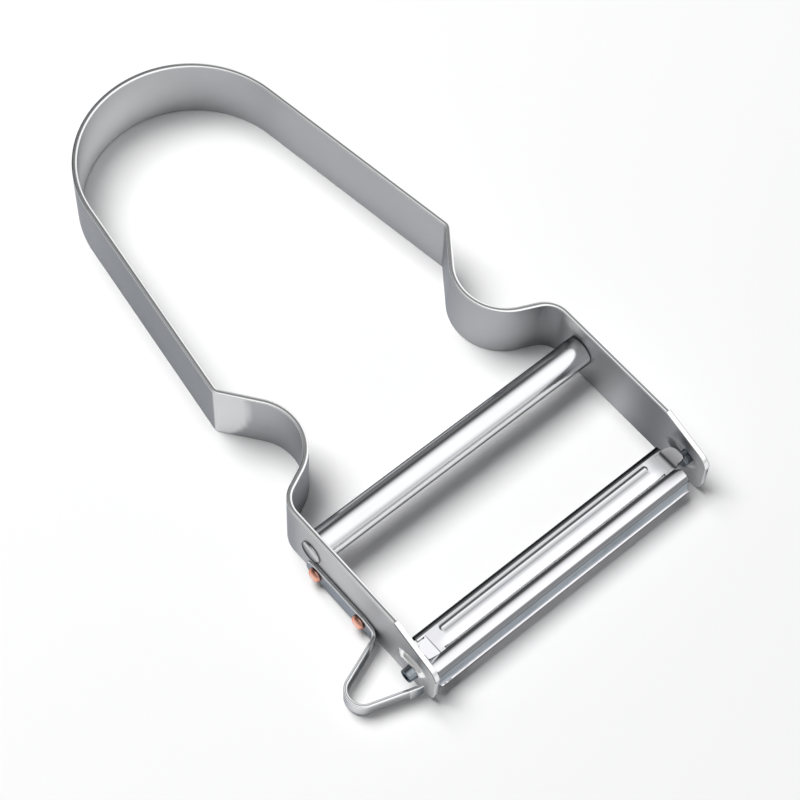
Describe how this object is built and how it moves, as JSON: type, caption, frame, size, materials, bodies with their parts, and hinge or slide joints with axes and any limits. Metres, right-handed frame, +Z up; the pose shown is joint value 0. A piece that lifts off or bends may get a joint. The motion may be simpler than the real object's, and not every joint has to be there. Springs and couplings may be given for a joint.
{
  "type": "vegetable peeler",
  "caption": "Y-shaped vegetable peeler: bent metal strip handle with finger notches, round crossbar, swivelling slotted blade between the arms and a wire-like eye remover loop on one arm.",
  "frame": {"origin": "under the middle of the outline, on the plane of the strip's lower edge", "axes": "+X across the fork, away from the eye remover; +Y from the blade to the handle loop; +Z up, towards the arms' sloped edge"},
  "size_m": [0.0658, 0.109, 0.012],
  "materials": {
    "strip": "satin",
    "bar": "polished",
    "blade": "polished",
    "loop": "rolled",
    "copper": "copper, rounded heads"
  },
  "bodies": {
    "frame": {"frame_strip": "strip", "crossbar": "bar", "eye_remover": "loop", "rivet_rear": "copper", "rivet_front": "copper"},
    "blade": {"blade": "blade"}
  },
  "joints": [
    {"name": "blade_swivel", "type": "hinge", "parent": "frame", "child": "blade", "pos_m": [0.00453, -0.0505, 0.0055], "axis": [1, 0, 0], "range_deg": [-40, 40]}
  ]
}
